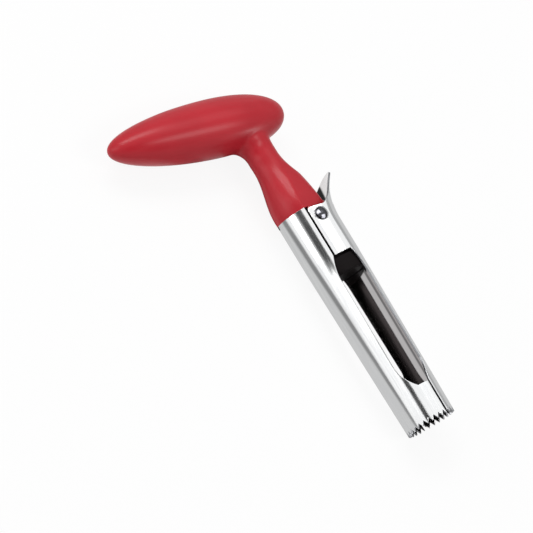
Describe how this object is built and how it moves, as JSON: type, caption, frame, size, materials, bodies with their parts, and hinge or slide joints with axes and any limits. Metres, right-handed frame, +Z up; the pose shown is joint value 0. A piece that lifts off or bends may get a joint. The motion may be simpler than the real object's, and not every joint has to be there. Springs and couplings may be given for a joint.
{
  "type": "apple corer",
  "caption": "Hand corer with a toothed steel barrel split into a fixed and a hinged half; a sprung thumb tab swings one half open to drop the core, under a red egg-shaped grip.",
  "frame": {"origin": "on the surface that the corer lies on, under the middle of its bounding box", "axes": "+X from the barrel's axis towards the thumb tab, +Y along the barrel from the teeth to the grip, +Z up, along the hinge pin"},
  "size_m": [0.0908, 0.1726, 0.0284],
  "materials": {
    "grip_red": "satin",
    "core_black": "satin",
    "plain_steel": "plain drawn",
    "blade_steel": "fine satin along the barrel",
    "rivet_steel": "polished",
    "bush_plastic": "natural"
  },
  "bodies": {
    "handle": {"grip": "grip_red", "handle_core": "core_black", "tang": "plain_steel", "fixed_blade": "blade_steel", "bush_near": "bush_plastic", "bush_far": "bush_plastic", "torsion_spring": "plain_steel"},
    "lever": {"hinged_blade": "blade_steel", "hinge_pin": "rivet_steel", "pin_cap": "rivet_steel"}
  },
  "joints": [
    {"name": "lever_hinge", "type": "hinge", "parent": "handle", "child": "lever", "pos_m": [0.02313, 0.01458, 0.01419], "axis": [0, 0, 1], "range_deg": [0, 15], "stiffness_Nm_per_rad": 0.12, "springref_deg": -14.9, "deforming": ["torsion_spring"]}
  ]
}
